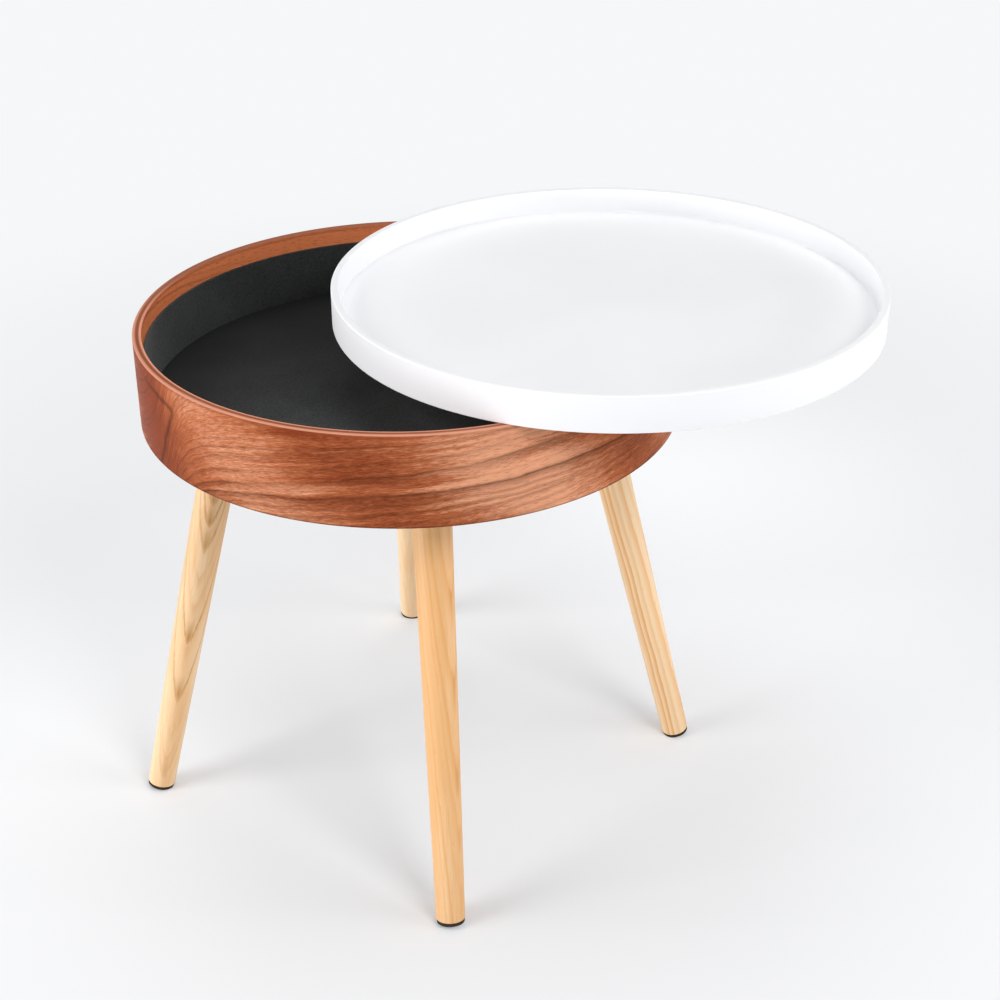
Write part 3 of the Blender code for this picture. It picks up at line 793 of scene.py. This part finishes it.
def cut_at_floor(mesh, place):
    """Takes off what is under the floor when the mesh stands at its place, and closes the cut flat."""
    shape = bmesh.new()
    shape.from_mesh(mesh)
    shape.transform(place)
    everything = [*shape.verts, *shape.edges, *shape.faces]
    cut = bmesh.ops.bisect_plane(shape, geom=everything, plane_co=(0, 0, 0), plane_no=(0, 0, 1),
                                 clear_inner=True)
    outline = [part for part in cut["geom_cut"] if isinstance(part, bmesh.types.BMEdge)]
    bmesh.ops.contextual_create(shape, geom=outline)
    shape.transform(place.inverted())
    shape.to_mesh(mesh)
    shape.free()


def build_legs(finishes):
    """Tapered legs with eased ends, each on a pad that is pressed flat on the floor."""
    drum_middle = disc_place("drum_hoop")[0]
    for side in LEG_SIDES:
        at, length, foot, top = leg_axis(side, drum_middle)
        profile = [(0, length)]
        profile += arc((top - LEG_END_ROUND, length - LEG_END_ROUND), LEG_END_ROUND, 90, 0,
                       SMALL_ROUND_FACETS)
        profile += arc((foot - LEG_END_ROUND, LEG_END_ROUND), LEG_END_ROUND, 0, -90, SMALL_ROUND_FACETS)
        profile += [(0, 0)]
        turned = at @ Matrix.Rotation(math.radians(LEG_GRAINS[side][0]), 4, "Z")
        finish = ash(side, foot, (top - foot) / length)
        add_piece(f"ash_leg_{side}", lathe(f"ash_leg_{side}", profile, LEG_FACETS), finish, turned,
                  "table", "ash", f"leg_{side}")

        pad = node_points(f"glide_{side}") - np.array(at.translation)
        pad_along = pad @ np.array(at.col[2][:3])
        pad_high, pad_low = pad_along.max(), pad_along.min()
        pad_radius = np.linalg.norm(pad - np.outer(pad_along, at.col[2][:3]), axis=1).max()
        profile = [(0, pad_high)]
        profile += arc((pad_radius - GLIDE_ROUND, pad_high - GLIDE_ROUND), GLIDE_ROUND, 90, 0,
                       SMALL_ROUND_FACETS)
        profile += arc((pad_radius - GLIDE_ROUND, pad_low + GLIDE_ROUND), GLIDE_ROUND, 0, -90,
                       SMALL_ROUND_FACETS)
        profile += [(0, pad_low)]
        mesh = lathe(f"felt_pad_{side}", profile, LEG_FACETS)
        cut_at_floor(mesh, at)
        add_piece(f"felt_pad_{side}", mesh, finishes["dark_glide"], at,
                  "table", "dark_glide", f"glide_{side}")


# Fittings

def cross_mesh(name, span, width, low, high):
    """An upright bar with a cross-shaped section."""
    corners = ((span / 2, -width / 2), (span / 2, width / 2), (width / 2, width / 2))
    quarters = (Matrix.Rotation(math.radians(90 * quarter), 2) for quarter in range(4))
    outline = [turn @ Vector(corner) for turn in quarters for corner in corners]
    shape = bmesh.new()
    face = shape.faces.new([shape.verts.new((*corner, low)) for corner in outline])
    raised = bmesh.ops.extrude_face_region(shape, geom=[face])["geom"]
    tops = [part for part in raised if isinstance(part, bmesh.types.BMVert)]
    bmesh.ops.translate(shape, verts=tops, vec=(0, 0, high - low))
    bmesh.ops.recalc_face_normals(shape, faces=shape.faces)
    mesh = bpy.data.meshes.new(name)
    shape.to_mesh(mesh)
    shape.free()
    return mesh


def cut_mesh(mesh, cutter_mesh):
    """The first mesh with the second one's shape taken out of it."""
    blank, cutter = (bpy.data.objects.new(part.name, part) for part in (mesh, cutter_mesh))
    for part in (blank, cutter):
        bpy.context.scene.collection.objects.link(part)
    change = blank.modifiers.new("cut", "BOOLEAN")
    change.object = cutter
    depsgraph = bpy.context.evaluated_depsgraph_get()
    result = bpy.data.meshes.new_from_object(blank.evaluated_get(depsgraph))
    for part in (blank, cutter):
        bpy.data.objects.remove(part)
    shape = bmesh.new()
    shape.from_mesh(result)
    bmesh.ops.remove_doubles(shape, verts=shape.verts, dist=CUT_TOLERANCE)
    shape.to_mesh(result)
    shape.free()
    return result


def screw_mesh(node):
    """A pan-headed wood screw, head down, with a cross recess; its origin is under its head's seat."""
    low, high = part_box(node)
    points = node_points(node) - np.array(((low.x + high.x) / 2, (low.y + high.y) / 2, low.z))
    reach = np.hypot(points[:, 0], points[:, 1])
    head = reach.max()
    seat = points[reach > 0.9 * head][:, 2].max()
    shank = reach[points[:, 2] > seat + SCREW_HEAD_ROUND].max()
    tip = high.z - low.z
    profile = [(0, tip), (shank, tip - 2 * shank), (shank, seat), (head, seat)]
    profile += arc((head - SCREW_HEAD_ROUND, SCREW_HEAD_ROUND), SCREW_HEAD_ROUND, 0, -90)
    profile += [(0, 0)]
    blank = lathe("pan_head_screw", profile, FASTENER_FACETS)
    return cut_mesh(blank, cross_mesh("cross_recess", CROSS_SPAN, CROSS_WIDTH, -CROSS_DEPTH, CROSS_DEPTH))


def build_fittings(finishes):
    """Screws with cross recesses, each turned its own way, and eased edges on plates and base panel."""
    screws = sorted(name for name in frame["nodes"] if name.startswith("screw_"))
    mesh = screw_mesh(screws[0])
    for number, name in enumerate(screws):
        place, _, _ = disc_place(name)
        at = Matrix.Translation(place) @ Matrix.Rotation(number * SCREW_TURN, 4, "Z")
        add_piece(f"pan_{name}", mesh, finishes["zinc_steel"], at, "table", "zinc_steel", name)
    for name in [f"plate_{side}" for side in LEG_SIDES] + ["base_panel"]:
        edges = frame["nodes"][name].modifiers.new("eased_edges", "BEVEL")
        edges.width = FITTING_EDGE
        edges.segments = FITTING_EDGE_SEGMENTS
        edges.limit_method = "ANGLE"
        edges.angle_limit = FITTING_EDGE_ANGLE


# Studio

def build_floor():
    """A pale floor that keeps the table's shadow and fades into the backdrop's colour far away.

    To the camera it glows a little, which stands for the lit room. The light that it throws on the table
    has no glow.
    """
    radius = 40.0
    facets = 64
    middle_glow = 0.235
    outer_glow = 0.14
    fade_centre = 0.30
    fade_from = 0.50
    fade_to = 1.45
    dim_from = 0.35
    dim_to = 0.80
    bpy.ops.mesh.primitive_circle_add(vertices=facets, radius=radius, fill_type="NGON", location=(0, 0, 0))
    floor = bpy.context.object
    floor.name = "studio_floor"
    finish = Finish("studio_floor")
    _, x, y, _ = finish.object_place()
    path = finish.node("ShaderNodeLightPath")
    shown = finish.larger(path.outputs["Is Camera Ray"], path.outputs["Is Glossy Ray"])
    shown = finish.larger(shown, path.outputs["Is Transmission Ray"])
    back = finish.minus(y, fade_centre)
    reach = finish.math("SQRT", finish.add(finish.times(x, x), finish.times(back, back)))
    far = finish.remap(reach, fade_from, fade_to)
    colour = finish.mix(finish.times(shown, far), FLOOR_COLOUR, (0.0, 0.0, 0.0))
    near_glow = finish.remap(reach, dim_from, dim_to, middle_glow, outer_glow)
    glow = finish.add(near_glow, finish.times(far, finish.minus(1.0, near_glow)))
    glow = finish.times(shown, glow)
    finish.finish(colour=colour, roughness=0.9, specular=0.0, glow_colour=BACKDROP_COLOUR, glow=glow)
    floor.data.materials.append(finish.material)


def build_world():
    """Even light from all round, and a pale backdrop where the camera looks past the floor."""
    world = bpy.data.worlds.new("studio")
    bpy.context.scene.world = world
    world.use_nodes = True
    tree = world.node_tree
    tree.nodes.clear()
    path = tree.nodes.new("ShaderNodeLightPath")
    shown = tree.nodes.new("ShaderNodeMath")
    shown.operation = "MAXIMUM"
    tree.links.new(path.outputs["Is Camera Ray"], shown.inputs[0])
    tree.links.new(path.outputs["Is Transmission Ray"], shown.inputs[1])
    light = tree.nodes.new("ShaderNodeBackground")
    light.inputs["Color"].default_value = (1.0, 1.0, 1.0, 1.0)
    light.inputs["Strength"].default_value = AMBIENT_LIGHT
    backdrop = tree.nodes.new("ShaderNodeBackground")
    backdrop.inputs["Color"].default_value = (*BACKDROP_COLOUR, 1.0)
    blend = tree.nodes.new("ShaderNodeMixShader")
    tree.links.new(shown.outputs[0], blend.inputs[0])
    tree.links.new(light.outputs[0], blend.inputs[1])
    tree.links.new(backdrop.outputs[0], blend.inputs[2])
    output = tree.nodes.new("ShaderNodeOutputWorld")
    tree.links.new(blend.outputs[0], output.inputs["Surface"])


def add_softbox(name, azimuth, elevation, distance, width, height, power):
    """A flat lamp that faces the middle of the table; azimuth in degrees, anticlockwise from +X."""
    target = Vector((0, 0, LAMP_TARGET_HEIGHT))
    flat = math.cos(math.radians(elevation))
    towards = Vector((flat * math.cos(math.radians(azimuth)), flat * math.sin(math.radians(azimuth)),
                      math.sin(math.radians(elevation))))
    lamp = bpy.data.lights.new(name, "AREA")
    lamp.shape = "RECTANGLE"
    lamp.size = width
    lamp.size_y = height
    lamp.energy = power
    holder = bpy.data.objects.new(name, lamp)
    holder.location = target + towards * distance
    holder.rotation_euler = (-towards).to_track_quat("-Z", "Y").to_euler()
    bpy.context.scene.collection.objects.link(holder)


def build_camera():
    """The photograph's camera, which stands in front of the drum and looks down at it."""
    drum_middle = disc_place("drum_hoop")[0]
    right = Vector((1, 0, 0))
    forward = Vector((0, math.cos(CAMERA_PITCH), -math.sin(CAMERA_PITCH)))
    up = right.cross(forward)
    across = right * math.cos(CAMERA_ROLL) + up * math.sin(CAMERA_ROLL)
    upright = up * math.cos(CAMERA_ROLL) - right * math.sin(CAMERA_ROLL)
    data = bpy.data.cameras.new("photo_camera")
    data.sensor_fit = "HORIZONTAL"
    data.sensor_width = SENSOR_WIDTH
    data.lens = FOCAL_PIXELS * SENSOR_WIDTH / IMAGE_SIZE
    camera = bpy.data.objects.new("photo_camera", data)
    place = Vector((drum_middle.x, drum_middle.y, 0)) + CAMERA_FROM_DRUM
    turn = Matrix((across, upright, -forward)).transposed().to_4x4()
    camera.matrix_world = Matrix.Translation(place) @ turn
    bpy.context.scene.collection.objects.link(camera)
    bpy.context.scene.camera = camera


def build_studio():
    build_floor()
    build_world()
    for softbox in SOFTBOXES:
        add_softbox(*softbox)
    build_camera()
    bpy.context.scene.view_settings.view_transform = "Standard"


def dress_kept_nodes(finishes):
    """The finishes on the CAD nodes themselves, for those that no piece replaces."""
    slots = {row["node"]: row["material_slot"] for row in frame["record"]["subparts"]}
    for name, node in frame["nodes"].items():
        slot = slots[name]
        if slot not in finishes:
            continue
        node.data.materials.clear()
        node.data.materials.append(finishes[slot])


finishes = {
    "black_lining": black_lining("black_felt_lining", LINING_BLACK, LINING_FIBRE, LINING_PAINTED_LIGHT),
    "black_mat": black_lining("black_felt_mat", MAT_BLACK, MAT_FIBRE, MAT_PAINTED_LIGHT),
    "base_board": base_board(),
    "white_lacquer": white_lacquer(),
    "dark_glide": dark_glide(),
    "zinc_steel": zinc_steel(),
}
dress_kept_nodes(finishes)
build_drum(finishes)
build_tray(finishes)
build_legs(finishes)
build_fittings(finishes)
build_studio()
